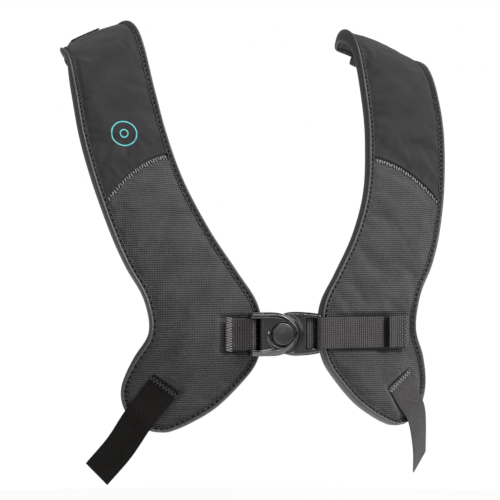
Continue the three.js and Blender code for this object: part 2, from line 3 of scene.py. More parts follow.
import bpy
import numpy as np
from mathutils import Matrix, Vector


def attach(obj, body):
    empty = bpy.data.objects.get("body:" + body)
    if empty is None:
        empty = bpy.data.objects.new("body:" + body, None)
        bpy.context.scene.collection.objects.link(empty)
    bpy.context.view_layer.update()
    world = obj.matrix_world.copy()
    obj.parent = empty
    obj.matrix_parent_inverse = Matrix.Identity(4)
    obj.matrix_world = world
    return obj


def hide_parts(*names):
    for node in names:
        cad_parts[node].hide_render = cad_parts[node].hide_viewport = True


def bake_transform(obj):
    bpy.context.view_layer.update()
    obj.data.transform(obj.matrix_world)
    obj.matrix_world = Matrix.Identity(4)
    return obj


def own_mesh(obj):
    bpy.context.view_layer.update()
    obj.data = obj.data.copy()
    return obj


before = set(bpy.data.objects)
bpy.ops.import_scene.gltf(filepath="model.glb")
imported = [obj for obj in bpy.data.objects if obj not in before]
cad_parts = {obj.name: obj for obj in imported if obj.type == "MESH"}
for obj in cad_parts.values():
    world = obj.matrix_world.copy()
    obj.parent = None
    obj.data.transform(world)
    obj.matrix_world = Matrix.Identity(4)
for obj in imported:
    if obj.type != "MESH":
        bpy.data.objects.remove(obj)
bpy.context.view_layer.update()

# ---------------- dimensions
# Shapes are worked out in millimetres in the chest frame: its origin is at the middle of the chest strap,
# +Z up, the wearer's front towards -Y and the wearer's left at +X.
MM = 0.001
ROW_ORIGIN = np.array([0.0, 125.0, 250.0])

# The wearer's body, as the pads lie on it: sideways bow (1/m), depth y, height z.
BODY_PROFILE = [
    [2.1, 3, -90], [1.95, 3, -45], [1.1, 2.5, 0], [0.7, 9.5, 48], [0.5, 23.5, 96], [0.2, 46.5, 144],
    [0, 71, 192], [0, 103, 243], [0, 142, 255], [0, 173, 235], [0, 184, 192],
]
SLOPE_FROM_Z = 170
SHOULDER_FALL = 0.32
SHOULDER_FALL_GROWTH = 0.002
SHOULDER_SWEEP = -0.2
SHOULDER_X = 95

# The pad's cut outline: matching points (x, s) on its two long edges, s measured along the profile.
INNER_EDGE = [
    [97, 10.5], [82, 17], [61, 30], [41, 50], [29, 67], [24.5, 90], [28.5, 114], [43, 138],
    [63, 172], [79, 212], [88.5, 258], [93, 300], [95.5, 345], [97, 390], [102, 416],
]
OUTER_EDGE = [
    [108, 11], [121.5, 19], [129.5, 33], [130.5, 50], [124, 70], [114, 91], [118.5, 118], [131.5, 143],
    [142, 171], [152.5, 212], [160, 258], [162, 300], [161.5, 345], [157, 390], [148, 416],
]
SEAM_INNER = 0.686
SEAM_OUTER = 0.617
SEAM_BULGE = 0.012

EDGE_INSET = 4.2  # the covers end here, under the binding's stitches
FLAP = 5.5  # width of the binding on each face of the pad
STITCH_PITCH = 4.5
STITCH_POINTS = 4  # points of the outline to a stitch
CORNER_REACH = 9  # how many points a corner's rounding reaches over

WEBBING = 25.0
WEBBING_THICKNESS = 1.4
RIBS = 14  # ribs across the webbing
ROW_WAVE = 1.95  # length of one woven row along it
FACE = 5.0

BUCKLE_BACK_Y = -2.4
BUCKLE_Z = -1.1
BAR_X = -36.2
BAR_Y = BUCKLE_BACK_Y - 4
BUTTON_X = -12.4
SOCKET_CENTRE_X = -20.0
STRAP_START_X = 17.0
HEM_X = (81.7, 89.1)
LIP_X = 84.6
KEEPER_END_X = 106.3
TAIL_RISE = 1.7
REAR_SEWN_S = 396.0
REAR_FOLD_S = 420.0
LOWER_SEWN = [[98.5, 50.5], [108.5, 35.0], [118.5, 20.0]]  # (x, s) where the lower webbing lies on the pad
LOWER_LIFT = [5.1, 5.2, 6.0]  # its height there
REAR_LOOP_X = 131.0


# ---------------- curves and surfaces
def spline(points, t):
    """Catmull-Rom values at every t in [0, 1] through points of any number of coordinates."""
    points = np.asarray(points, float)
    t = np.clip(np.asarray(t, float), 0, 1)
    last = len(points) - 1
    before = 2 * points[0] - points[1]
    after = 2 * points[-1] - points[-2]
    padded = np.vstack([before, points, after])
    place = t * last
    i = np.minimum(place.astype(int), last - 1)
    f = (place - i)[..., None]
    a, b, c, d = padded[i], padded[i + 1], padded[i + 2], padded[i + 3]
    start, end = (c - a) / 2, (d - b) / 2
    return (2 * b - 2 * c + start + end) * f**3 + (3 * c - 3 * b - 2 * start - end) * f**2 + start * f + b


def smoothstep(value, low, high):
    """0 at low and 1 at high, eased at both ends. low may be the greater."""
    t = np.clip((np.asarray(value, float) - low) / (high - low), 0, 1)
    return t * t * (3 - 2 * t)


def bell(value, width):
    return np.exp(-((np.asarray(value, float) / width) ** 2))


def run_lengths(points):
    """How far each point is along its row of points, from the first one."""
    return np.concatenate([[0], np.cumsum(np.linalg.norm(np.diff(points, axis=0), axis=1))])


PROFILE = spline(BODY_PROFILE, np.linspace(0, 1, 601))
PROFILE_S = run_lengths(PROFILE)
CREST_STEP = int(np.argmax(PROFILE[:, 2]))
SLOPE_START = PROFILE_S[int(np.argmax(PROFILE[:, 2] > SLOPE_FROM_Z))]
SLOPE_LENGTH = PROFILE_S[CREST_STEP] - SLOPE_START


def mid_surface(x, s):
    """The pad's mid-surface at x and s, on the wearer's left."""
    x, s = np.broadcast_arrays(np.asarray(x, float), np.asarray(s, float))
    bow, y, z = (np.interp(s, PROFILE_S, PROFILE[:, axis]) for axis in range(3))
    w = smoothstep((s - SLOPE_START) / SLOPE_LENGTH, 0, 1)
    off = x - SHOULDER_X
    depth = y + bow / 1000 * x * x + w * SHOULDER_SWEEP * off
    height = z - w * (SHOULDER_FALL * off + SHOULDER_FALL_GROWTH * off * np.abs(off))
    return np.stack([x, depth, height], axis=-1)


def unit(v):
    return v / np.linalg.norm(v, axis=-1, keepdims=True)


def surface_normal(x, s):
    across = mid_surface(np.asarray(x) + 1.0, s) - mid_surface(np.asarray(x) - 1.0, s)
    along = mid_surface(x, np.asarray(s) + 2.0) - mid_surface(x, np.asarray(s) - 2.0)
    return unit(np.cross(across, along))


def on_pad(x, s, height):
    return mid_surface(x, s) + surface_normal(x, s) * np.asarray(height, float)[..., None]


def tangent(points, t, step):
    """The way a spline goes at t."""
    return unit(spline(points, np.minimum(t + step, 1)) - spline(points, np.maximum(t - step, 0)))


def edge_point(edge, t, side):
    """A point (x, s) inside one long edge, where the cover ends. side is 1 on the inner edge, else -1."""
    along = tangent(edge, t, 0.004)
    point = spline(edge, t)
    x = point[..., 0] + side * EDGE_INSET * along[..., 1]
    s = point[..., 1] - side * EDGE_INSET * along[..., 0]
    return np.stack([x, np.clip(s, edge[0][1] + EDGE_INSET, edge[-1][1] - EDGE_INSET)], axis=-1)


def pattern_point(u, t):
    """x and s on the covers: u is the share across from the inner edge, t the place along the pad."""
    inner, outer = edge_point(INNER_EDGE, t, 1), edge_point(OUTER_EDGE, t, -1)
    point = inner + (outer - inner) * np.asarray(u, float)[..., None]
    return point[..., 0], point[..., 1]


def seam_at(u):
    return SEAM_INNER + (SEAM_OUTER - SEAM_INNER) * u + SEAM_BULGE * 4 * u * (1 - u)


def closed_outline():
    """The outline: evenly spaced points (x, s) with rounded corners, their inward normals, its length."""
    t = np.linspace(0, 1, 500)
    ring = np.vstack([spline(INNER_EDGE, t), spline(OUTER_EDGE, t)[::-1]])
    ring = resample_ring(ring, 1100)
    shifts = range(-CORNER_REACH, CORNER_REACH + 1)
    weights = bell(shifts, CORNER_REACH / 2)
    ring = sum(np.roll(ring, k, axis=0) * weight for k, weight in zip(shifts, weights)) / weights.sum()
    length = np.linalg.norm(np.roll(ring, -1, axis=0) - ring, axis=1).sum()
    stitches = int(round(length / STITCH_PITCH))
    ring = resample_ring(ring, stitches * STITCH_POINTS)
    along = unit(np.roll(ring, -1, axis=0) - np.roll(ring, 1, axis=0))
    inward = np.stack([along[:, 1], -along[:, 0]], axis=1)
    return ring, inward, length


def resample_ring(ring, count):
    loop = np.vstack([ring, ring[:1]])
    place = run_lengths(loop)
    wanted = np.linspace(0, place[-1], count, endpoint=False)
    return np.stack([np.interp(wanted, place, loop[:, axis]) for axis in range(2)], axis=1)


OUTLINE, OUTLINE_INWARD, OUTLINE_LENGTH = closed_outline()


def edge_distance(x, s):
    """Distance in the pattern from each point to the outline."""
    flat = np.stack([np.ravel(x), np.ravel(s)], axis=1)
    nearest = np.empty(len(flat))
    for start in range(0, len(flat), 4000):
        part = flat[start:start + 4000]
        gaps = part[:, None, :] - OUTLINE[None, :, :]
        nearest[start:start + 4000] = np.sqrt((gaps**2).sum(axis=2).min(axis=1))
    return nearest.reshape(np.shape(x))


# ---------------- meshes
def to_row(points):
    return (np.asarray(points, float) - ROW_ORIGIN) * MM


def loft_faces(count, around, ring):
    """Quads of a closed skin over count loops of points, with end caps unless the loops close into a ring.

    around, the points in a loop, is even.
    """
    index = np.arange(count * around).reshape(count, around)
    ahead = np.roll(index, -1, axis=0) if ring else index[1:]
    here = index if ring else index[:-1]
    quads = [np.stack([here, np.roll(here, -1, 1), np.roll(ahead, -1, 1), ahead], axis=-1).reshape(-1, 4)]
    if not ring:
        k = np.arange(around // 2 - 1)
        first, last = index[0], index[-1]
        far, near = around - 1 - k, around - 2 - k
        quads.append(np.stack([first[far], first[near], first[k + 1], first[k]], axis=1))
        quads.append(np.stack([last[k], last[k + 1], last[near], last[far]], axis=1))
    return np.vstack(quads)


def new_object(name, data):
    made = bpy.data.objects.new(name, data)
    bpy.context.scene.collection.objects.link(made)
    return made


def quad_mesh(name, points, quads, uv=None):
    mesh = bpy.data.meshes.new(name)
    mesh.vertices.add(len(points))
    mesh.vertices.foreach_set("co", np.ascontiguousarray(points, np.float32).ravel())
    mesh.loops.add(4 * len(quads))
    mesh.loops.foreach_set("vertex_index", np.ascontiguousarray(quads, np.int32).ravel())
    mesh.polygons.add(len(quads))
    mesh.polygons.foreach_set("loop_start", np.arange(0, 4 * len(quads), 4, dtype=np.int32))
    mesh.update(calc_edges=True)
    if uv is not None:
        layer = mesh.uv_layers.new(name="UVMap")
        layer.data.foreach_set("uv", np.ascontiguousarray(uv[quads.ravel()], np.float32).ravel())
    mesh.shade_smooth()
    return mesh


def add_piece(name, points, quads, material, slot, body, uv=None, mirror=False, replaces=()):
    """A piece from points in the chest frame, mirrored for the wearer's right. body is None for a blend."""
    points = np.asarray(points, float).reshape(-1, 3)
    if mirror:
        points = points * [-1, 1, 1]
        quads = quads[:, ::-1]
    mesh = quad_mesh(name, to_row(points), quads, None if uv is None else np.asarray(uv).reshape(-1, 2))
    piece = new_object(name, mesh)
    mesh.materials.append(material)
    if replaces:
        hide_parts(*replaces)
    if body:
        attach(piece, body)
    return piece


def sheet_loops(top, bottom, uv):
    """Loops over matching grids of points (rows, columns, 3): along the top and back along the bottom."""
    loops = np.concatenate([top, bottom[:, ::-1]], axis=1)
    return loops, np.concatenate([uv, uv[:, ::-1]], axis=1)


def add_sheet(name, top, bottom, uv, ring=False, **facts):
    loops, loop_uv = sheet_loops(top, bottom, uv)
    return add_piece(name, loops, loft_faces(loops.shape[0], loops.shape[1], ring), uv=loop_uv, **facts)


THREAD_RINGS = np.array([-1.0, -0.86, -0.45, 0.45, 0.86, 1.0])
THREAD_GIRTH = np.array([0.3, 0.75, 1.0, 1.0, 0.75, 0.3])
THREAD_SIDES = 6


def thread_points(starts, ends, normals, radius, sink=0.0):
    """One short rounded strand from each start to each end, its two tips sunk into the surface."""
    middle, half = (starts + ends) / 2, (ends - starts) / 2
    side = unit(np.cross(unit(half), normals))
    angles = np.arange(THREAD_SIDES) * 2 * math.pi / THREAD_SIDES
    dip = sink * np.abs(THREAD_RINGS) ** 3
    centre = middle[:, None] + half[:, None] * THREAD_RINGS[:, None] - normals[:, None] * dip[:, None]
    spoke = side[:, None] * np.cos(angles)[:, None] + normals[:, None] * np.sin(angles)[:, None]
    return centre[:, :, None] + spoke[:, None] * (radius * THREAD_GIRTH)[:, None, None]


def add_threads(name, starts, ends, normals, radius, sink=0.0, **facts):
    points = thread_points(starts, ends, normals, radius, sink)
    one = loft_faces(len(THREAD_RINGS), THREAD_SIDES, False)[:, ::-1]
    per_strand = len(THREAD_RINGS) * THREAD_SIDES
    quads = (one[None] + per_strand * np.arange(len(points))[:, None, None]).reshape(-1, 4)
    return add_piece(name, points, quads, **facts)


# ---------------- materials
def new_material(name, roughness, **sockets):
    material = bpy.data.materials.new(name)
    material.use_nodes = True
    tree = Tree(material)
    tree.inputs["Roughness"].default_value = roughness
    for socket, value in sockets.items():
        tree.inputs[socket.replace("_", " ")].default_value = value
    return material, tree


class Tree:
    """Short ways to add nodes to a material or a world. inputs are its shader's sockets."""

    def __init__(self, owner):
        self.tree = owner.node_tree
        shaders = [node for node in self.tree.nodes if node.type in ("BSDF_PRINCIPLED", "BACKGROUND")]
        self.inputs = shaders[0].inputs

    def add(self, kind, inputs=(), **props):
        node = self.tree.nodes.new(kind)
        for key, value in props.items():
            setattr(node, key, value)
        for key, value in dict(inputs).items():
            if isinstance(value, bpy.types.NodeSocket):
                self.tree.links.new(value, node.inputs[key])
            else:
                node.inputs[key].default_value = value
        return node

    def math(self, operation, first, second=0.0):
        return self.add("ShaderNodeMath", {0: first, 1: second}, operation=operation).outputs[0]

    def mix(self, first, share, second):
        """A share of the first value and what is left of the second."""
        rest = self.math("MULTIPLY", second, 1 - share)
        return self.math("ADD", self.math("MULTIPLY", first, share), rest)

    def link(self, output, socket):
        self.tree.links.new(output, socket)

    def place(self, source="UV"):
        return self.add("ShaderNodeTexCoord").outputs[source]

    def noise(self, vector, scale, detail=2.0, roughness=0.5):
        inputs = {"Vector": vector, "Scale": scale, "Detail": detail, "Roughness": roughness}
        return self.add("ShaderNodeTexNoise", inputs).outputs["Fac"]

    def ramp(self, value, colours):
        node = self.add("ShaderNodeValToRGB", {"Fac": value})
        elements = node.color_ramp.elements
        while len(elements) < len(colours):
            elements.new(0.5)
        for element, (position, colour) in zip(elements, colours):
            element.position = position
            element.color = (*colour, 1)
        return node.outputs["Color"]

    def tint(self, first, second):
        """Two colours multiplied."""
        node = self.add("ShaderNodeMix", {0: 1.0}, data_type="RGBA", blend_type="MULTIPLY")
        self.link(first, node.inputs[6])
        self.link(second, node.inputs[7])
        return node.outputs[2]

    def finish(self, colour, height, strength, distance):
        """Give the shader a colour and a relief, its depth in metres."""
        self.link(colour, self.inputs["Base Color"])
        relief = self.add("ShaderNodeBump", {"Strength": strength, "Distance": distance, "Height": height})
        self.link(relief.outputs["Normal"], self.inputs["Normal"])

    def weave(self, vector, pitch_u, pitch_v):
        """Height, 0 to 1, of a ribbed weave with those thread pitches, in the units of the vector."""
        axes = self.add("ShaderNodeSeparateXYZ", {0: vector}).outputs
        column = self.math("ABSOLUTE", self.math("SINE", self.math("MULTIPLY", axes[0], math.pi / pitch_u)))
        row = self.math("ABSOLUTE", self.math("SINE", self.math("MULTIPLY", axes[1], math.pi / pitch_v)))
        return self.math("MULTIPLY", row, self.math("ADD", self.math("MULTIPLY", column, 0.45), 0.55))


def woven(name, dark, light, pitch, bump, roughness=0.85, sheen=0.12, blotch=0.25, fuzz=0.3, gloss=0.2,
          painted_light_bands=()):
    """Cloth of ribbed weave. pitch is (across, along) in millimetres, bump the weave's depth in metres.

    fuzz is the share of loose fibre in its tone, and blotch is how far its tone drifts.
    painted_light_bands gives (place across in millimetres, share of the colour kept) where painted
    highlights and painted shade lighten and darken the cloth in lines.
    """
    material, tree = new_material(name, roughness, Sheen_Weight=sheen, Sheen_Roughness=0.45,
                                  Specular_IOR_Level=gloss)
    uv = tree.place()
    height = tree.weave(uv, *pitch)
    streaks = tree.add("ShaderNodeMapping", {"Vector": uv, "Scale": (0.25, 1.6, 1.0)}).outputs[0]
    fibre = tree.noise(streaks, 0.75, 4.0, 0.7)
    cloud = tree.noise(uv, 0.045, 3.0, 0.55)
    tone = tree.mix(fibre, fuzz, height)
    colour = tree.ramp(tone, [(0.12, dark), (0.85, light)])
    patches = tree.ramp(cloud, [(0.3, (1 - blotch,) * 3), (0.7, (1 + blotch,) * 3)])
    colour = tree.tint(colour, patches)
    # Painted highlights and painted shade, in lines across the cloth.
    if painted_light_bands:
        across = tree.add("ShaderNodeSeparateXYZ", {0: uv}).outputs[0]
        shares = [(place / BAND_SPAN, (share,) * 3) for place, share in painted_light_bands]
        colour = tree.tint(colour, tree.ramp(tree.math("DIVIDE", across, BAND_SPAN), shares))
    tree.finish(colour, tone, 0.9, bump)
    return material


def napped(name, dark, light, bump):
    """Smooth cloth with a short nap: fine fibres and soft clouds of tone."""
    material, tree = new_material(name, 0.9, Sheen_Weight=0.08, Sheen_Roughness=0.5,
                                  Specular_IOR_Level=0.25)
    uv = tree.place()
    fine = tree.noise(uv, 1.6, 4.0, 0.75)
    knit = tree.weave(uv, 0.8, 0.8)
    cloud = tree.noise(uv, 0.04, 4.0, 0.6)
    tone = tree.mix(fine, 0.35, cloud)
    grain = tree.mix(fine, 0.6, knit)
    tree.finish(tree.ramp(tone, [(0.3, dark), (0.7, light)]), grain, 0.7, bump)
    return material


def moulded(name, dark, light, roughness):
    """Moulded plastic: a fine spark texture, and lighter where handling has polished it."""
    material, tree = new_material(name, roughness, Specular_IOR_Level=1.0)
    place = tree.place("Object")
    fine = tree.noise(place, 1900.0, 2.0)
    broad = tree.noise(place, 90.0, 4.0, 0.6)
    worn = tree.math("MULTIPLY_ADD", broad, 0.16)
    worn.node.inputs[2].default_value = roughness - 0.08
    tree.link(worn, tree.inputs["Roughness"])
    tree.finish(tree.ramp(broad, [(0.3, dark), (0.72, light)]), fine, 0.2, 0.00004)
    return material


def twisted_thread(name, dark, light):
    """Sewing thread: twisted plies along its length."""
    material, tree = new_material(name, 0.55, Sheen_Weight=0.2, Sheen_Roughness=0.4)
    place = tree.place("Object")
    axes = tree.add("ShaderNodeSeparateXYZ", {0: place}).outputs
    along = tree.math("ADD", tree.math("ADD", axes[0], axes[1]), axes[2])
    ply = tree.math("MULTIPLY_ADD", tree.math("SINE", tree.math("MULTIPLY", along, 7000.0)), 0.5)
    ply.node.inputs[2].default_value = 0.5
    uneven = tree.noise(place, 700.0, 2.0)
    tone = tree.mix(ply, 0.5, uneven)
    tree.finish(tree.ramp(tone, [(0.2, dark), (0.8, light)]), ply, 0.6, 0.0001)
    return material


def brushed_steel(name):
    material, tree = new_material(name, 0.3, Metallic=1.0)
    place = tree.place("Object")
    stretched = tree.add("ShaderNodeMapping", {"Vector": place, "Scale": (1500, 300, 120)}).outputs[0]
    streak = tree.noise(stretched, 1.0, 3.0)
    colour = tree.ramp(streak, [(0.3, (0.32, 0.32, 0.33)), (0.7, (0.5, 0.5, 0.51))])
    tree.finish(colour, streak, 0.3, 0.00005)
    return material


def printed(name, dark, light):
    """Ink with small thin places."""
    material, tree = new_material(name, 0.5)
    speck = tree.noise(tree.place("Object"), 900.0, 3.0, 0.7)
    tree.finish(tree.ramp(speck, [(0.3, dark), (0.6, light)]), speck, 0.3, 0.00008)
    return material


def grey(value, warm=0.0, violet=0.02):
    """A dark neutral. warm above 0 makes it redder and below 0 bluer; violet takes away green."""
    return (value * (1 + warm), value * (1 - violet), value * (1 - warm))


BAND_SPAN = 40.0
# Painted light along the binding's section: painted shade in the stitched groove, a painted highlight on
# the ridge and painted shade at the turn of the edge.
BINDING_PAINTED_LIGHT = [
    (0, 0.75), (1.8, 0.5), (3.4, 1.5), (4.6, 1.7), (6.4, 0.7), (8.0, 0.3), (14, 0.4), (18, 0.8),
]
WEBBING_PITCH = (WEBBING / RIBS, ROW_WAVE)

UPPER_CLOTH = napped("upper_cloth", grey(0.0075, -0.03, 0.06), grey(0.0205, -0.03, 0.06), 0.0002)
LOWER_CLOTH = woven("lower_cloth", grey(0.001), grey(0.066, -0.02, 0.03), (1.9, 1.75), 0.0009,
                    blotch=0.2, fuzz=0.45)
LINING_CLOTH = woven("lining_cloth", grey(0.010), grey(0.035), (1.2, 1.2), 0.0002, sheen=0.1)
# The binding's colour holds painted shade in its groove and at the turn of its edge, and a painted
# highlight on its ridge.
BINDING_CLOTH = woven("binding_cloth", grey(0.004), grey(0.032), (0.9, 1.3), 0.0003, roughness=0.42,
                      sheen=0.05, gloss=0.6, painted_light_bands=BINDING_PAINTED_LIGHT)
WEBBING_CLOTH = woven("webbing_cloth", grey(0.0005, 0.05), grey(0.062, 0.045, 0.03), WEBBING_PITCH, 0.0009,
                      roughness=0.6, sheen=0.02, blotch=0.15)
# A darker copy of the webbing cloth as painted shade: a painted shadow on the tail's hem before the
# keeper's lip, and painted shade on the right lower strap.
PAINTED_SHADE_WEBBING = woven("painted_shade_webbing_cloth", grey(0.001, 0.1), grey(0.015, 0.08), WEBBING_PITCH, 0.0004,
                     roughness=0.8, sheen=0.0, blotch=0.15, gloss=0.06)
SEAM_THREAD = twisted_thread("seam_thread", grey(0.05, 0.03), grey(0.24, 0.03))
MIDDLE_THREAD = twisted_thread("middle_thread", grey(0.02, 0.03), grey(0.09, 0.03))
# Dark thread: the binding's own dark stitches, and painted shade on the right lower tack.
DARK_AND_SHADED_THREAD = twisted_thread("dark_and_shaded_thread", grey(0.001), grey(0.010))
BLACK_PLASTIC = moulded("buckle_plastic", grey(0.003, 0.02), grey(0.006, 0.02), 0.27)
BUTTON_PLASTIC = moulded("button_plastic", grey(0.004), grey(0.009), 0.3)
STEEL = brushed_steel("latch_steel")
TEAL_INK = printed("teal_ink", (0.03, 0.22, 0.23), (0.08, 0.40, 0.40))


# ---------------- swelling of the pads
SWELL_COLUMNS, SWELL_ROWS = 24, 132
SWELL_START = 3.6  # height of both faces before the pressure
SWELL_FRAMES = 20
MOST_SWELL = 2.6


def cloth_swell():
    """How far, in mm, cloth pressure moves the two faces of a pad outwards, on a grid over the pattern."""
    shape = (SWELL_ROWS + 1, SWELL_COLUMNS + 1)
    u, t = np.meshgrid(np.linspace(0, 1, shape[1]), np.linspace(0, 1, shape[0]))
    x, s = pattern_point(u, t)
    front, back = (on_pad(x, s, np.full(shape, face * SWELL_START)) for face in (1, -1))
    loops = np.concatenate([front, back[:, ::-1]], axis=1)
    quads = loft_faces(loops.shape[0], loops.shape[1], False)
    mesh = quad_mesh("swell", to_row(loops.reshape(-1, 3)), quads)
    pad = new_object("swell", mesh)
    edge = (u == 0) | (u == 1) | (t == 0) | (t == 1)
    seam = np.abs(t - seam_at(u)) < 0.5 / SWELL_ROWS
    held = np.concatenate([edge | seam, edge[:, ::-1]], axis=1).ravel()
    group = pad.vertex_groups.new(name="held")
    group.add([int(i) for i in np.flatnonzero(held)], 1.0, "REPLACE")
    cloth = pad.modifiers.new("Cloth", "CLOTH")
    settings = cloth.settings
    settings.quality = 5
    settings.mass = 0.3
    settings.tension_stiffness = settings.compression_stiffness = 12
    settings.shear_stiffness = 6
    settings.bending_stiffness = 0.4
    settings.vertex_group_mass = "held"
    settings.use_pressure = True
    settings.uniform_pressure_force = 4
    settings.shrink_min = -0.012
    settings.effector_weights.gravity = 0
    scene = bpy.context.scene
    for number in range(1, SWELL_FRAMES + 1):
        scene.frame_set(number)
    swollen = pad.evaluated_get(bpy.context.evaluated_depsgraph_get())
    moved = np.empty(3 * len(mesh.vertices), np.float32)
    swollen.data.vertices.foreach_get("co", moved)
    moved = moved.reshape(loops.shape) / MM + ROW_ORIGIN - loops
    bpy.data.objects.remove(pad)
    scene.frame_set(1)
    outward = surface_normal(x, s)
    front_swell = (moved[:, :shape[1]] * outward).sum(axis=2)
    back_swell = -(moved[:, shape[1]:][:, ::-1] * outward).sum(axis=2)
    return np.clip(front_swell, 0, MOST_SWELL), np.clip(back_swell, 0, MOST_SWELL)


FRONT_SWELL, BACK_SWELL = cloth_swell()


def read_grid(grid, u, t):
    """Smooth values of a grid over the pattern at u and t."""
    def weights(f):
        return [((2 - f) * f - 1) * f / 2, ((3 * f - 5) * f * f + 2) / 2,
                ((4 - 3 * f) * f + 1) * f / 2, (f - 1) * f * f / 2]

    rows, columns = grid.shape[0] - 1, grid.shape[1] - 1
    row, column = np.clip(t, 0, 1) * rows, np.clip(u, 0, 1) * columns
    i, j = np.minimum(row.astype(int), rows - 1), np.minimum(column.astype(int), columns - 1)
    total = np.zeros(np.shape(u))
    for a, row_weight in enumerate(weights(row - i)):
        for b, column_weight in enumerate(weights(column - j)):
            value = grid[np.clip(i + a - 1, 0, rows), np.clip(j + b - 1, 0, columns)]
            total += row_weight * column_weight * value
    return total


# ---------------- the lower webbing's path
def lower_path():
    """Places and facings along the lower webbing, which leaves the pad and wraps back round the ribs."""
    x, s = np.transpose(LOWER_SEWN)
    places = np.vstack([on_pad(x, s, LOWER_LIFT), [(131, 42, -92), (142.5, 67, -115)]])
    facings = np.vstack([surface_normal(x, s), [(0.6, -0.78, -0.15), (0.7, -0.6, -0.33)]])
    return places, facings


LOWER_PLACES, LOWER_FACINGS = lower_path()


def on_lower_webbing(t, across, height):
    t, across, height = np.broadcast_arrays(*(np.asarray(v, float) for v in (t, across, height)))
    along = tangent(LOWER_PLACES, t, 0.01)
    facing = spline(LOWER_FACINGS, t)
    facing = unit(facing - along * (facing * along).sum(axis=-1, keepdims=True))
    side = np.cross(facing, along)
    return spline(LOWER_PLACES, t) + side * across[..., None] + facing * height[..., None]


# ---------------- pads
PANEL_COLUMNS = 56
LOWER_ROWS, UPPER_ROWS = 240, 150


def under_webbing(across, beside):
    """1 within the webbing's half width, easing to 0 over a distance beside it."""
    return 1 - smoothstep(np.abs(across), WEBBING / 2, WEBBING / 2 + beside)


def under_rear_loop(x, s):
    return under_webbing(x - REAR_LOOP_X, 3.5) * smoothstep(s, REAR_SEWN_S - 6, REAR_SEWN_S)


def pressed(height, x, s, right):
    """The pad's front gives way under the webbing that is sewn or pulled onto it."""
    z = mid_surface(x, s)[..., 2]
    reach = 58 if right else 106
    chest = under_webbing(z - BUCKLE_Z, 4.5) * (1 - smoothstep(x, reach, reach + 5))
    start = np.array(LOWER_SEWN[0])
    slope = unit(np.array(LOWER_SEWN[-1]) - start)
    along = (x - start[0]) * slope[0] + (s - start[1]) * slope[1]
    across = (x - start[0]) * slope[1] - (s - start[1]) * slope[0]
    lower = under_webbing(across, 4.5) * smoothstep(along, -5, 0)
    weight = np.maximum(np.maximum(chest, lower), under_rear_loop(x, s))
    return height + (np.minimum(height, FACE - 0.25) - height) * weight


def front_height(u, t, right):
    """Height of the front cover over the mid-surface: a crown, the cloth's swelling and soft unevenness."""
    x, s = pattern_point(u, t)
    inside = np.maximum(edge_distance(x, s) - EDGE_INSET, 0)
    height = 3.7 + 1.2 * (1 - np.exp(-inside / 7)) + read_grid(FRONT_SWELL, u, t) * smoothstep(inside, 0, 5)
    phase = 1.7 if right else 0.4
    wander = np.sin(x * 0.11 + phase) * np.sin(s * 0.083 + 2 * phase)
    wander = wander + 0.6 * np.sin(x * 0.05 - s * 0.14 + phase)
    height = height + 0.16 * wander * smoothstep(inside, 0, 10)
    return x, s, pressed(height, x, s, right)


def panel_grid(low, high, rows):
    """u and t over a panel whose two ends are functions of u."""
    u = np.linspace(0, 1, PANEL_COLUMNS + 1)[None].repeat(rows + 1, axis=0)
    v = np.linspace(0, 1, rows + 1)[:, None]
    return u, low(u[0]) + (high(u[0]) - low(u[0])) * v


def add_front_cover(side, right, part, grid, seam_row, relief, material):
    """One front panel. relief is its height at a distance from the seam, which is one row of its grid."""
    x, s, height = front_height(*grid, right)
    height = height + relief(np.abs(s - s[seam_row]))
    cover = add_sheet(f"{side}_{part}_cover", on_pad(x, s, height), on_pad(x, s, 0 * height + 0.1),
                      np.stack([x, s], axis=-1), material=material, slot=part + "_panel_fabric",
                      body=side + "_half", mirror=right, replaces=[f"{side}_{part}_panel"])


def add_front_panels(side, right):
    """The lower panel dips at the seam behind a low ridge, and the upper one is turned in over it."""
    lower_grid = panel_grid(np.zeros_like, seam_at, LOWER_ROWS)
    upper_grid = panel_grid(seam_at, np.ones_like, UPPER_ROWS)
    add_front_cover(side, right, "lower", lower_grid, -1,
                    lambda off: 0.65 * bell(off - 7.4, 0.75) - bell(off, 3.2), LOWER_CLOTH)
    add_front_cover(side, right, "upper", upper_grid, 0,
                    lambda off: 0.8 * bell(off - 1.8, 1.6) - 1.2 * bell(off, 0.8), UPPER_CLOTH)


def add_back_pad(side, right):
    """The foam and the lining behind it, which lies on the wearer."""
    rows = LOWER_ROWS + UPPER_ROWS
    u, t = np.meshgrid(np.linspace(0, 1, PANEL_COLUMNS // 2 + 1), np.linspace(0, 1, rows // 2 + 1))
    x, s = pattern_point(u, t)
    inside = np.maximum(edge_distance(x, s) - EDGE_INSET, 0)
    swell = 0.6 * read_grid(BACK_SWELL, u, t) * smoothstep(inside, 0, 5)
    depth = 3.7 + 0.8 * (1 - np.exp(-inside / 7)) + swell
    depth = depth + (np.minimum(depth, FACE - 0.2) - depth) * under_rear_loop(x, s)
    back = add_sheet(side + "_back_pad", on_pad(x, s, 0 * depth - 0.1), on_pad(x, s, -depth),
                     np.stack([x, s], axis=-1), material=LINING_CLOTH, slot="lining_fabric",
                     body=side + "_half", mirror=right, replaces=[side + "_lining", side + "_foam_core"])


# The binding's section: distance in from the outline as a share of the flap, height off the mid-surface.
BINDING_SECTION = [
    (1.0, 4.55), (0.95, 4.9), (0.87, 4.85), (0.79, 4.5), (0.72, 4.2), (0.64, 4.35), (0.52, 5.05),
    (0.4, 5.65), (0.27, 5.85), (0.14, 5.4), (0.04, 4.2), (-0.03, 2.6), (-0.04, 0.9), (-0.04, -0.9),
    (-0.03, -2.6), (0.05, -3.9), (0.15, -4.85), (0.28, -5.25), (0.42, -5.1), (0.54, -4.65),
    (0.65, -4.3), (0.76, -4.75), (0.88, -4.95), (1.0, -4.75),
]
BINDING_POINTS = 36
STITCH_SHARE = 0.72


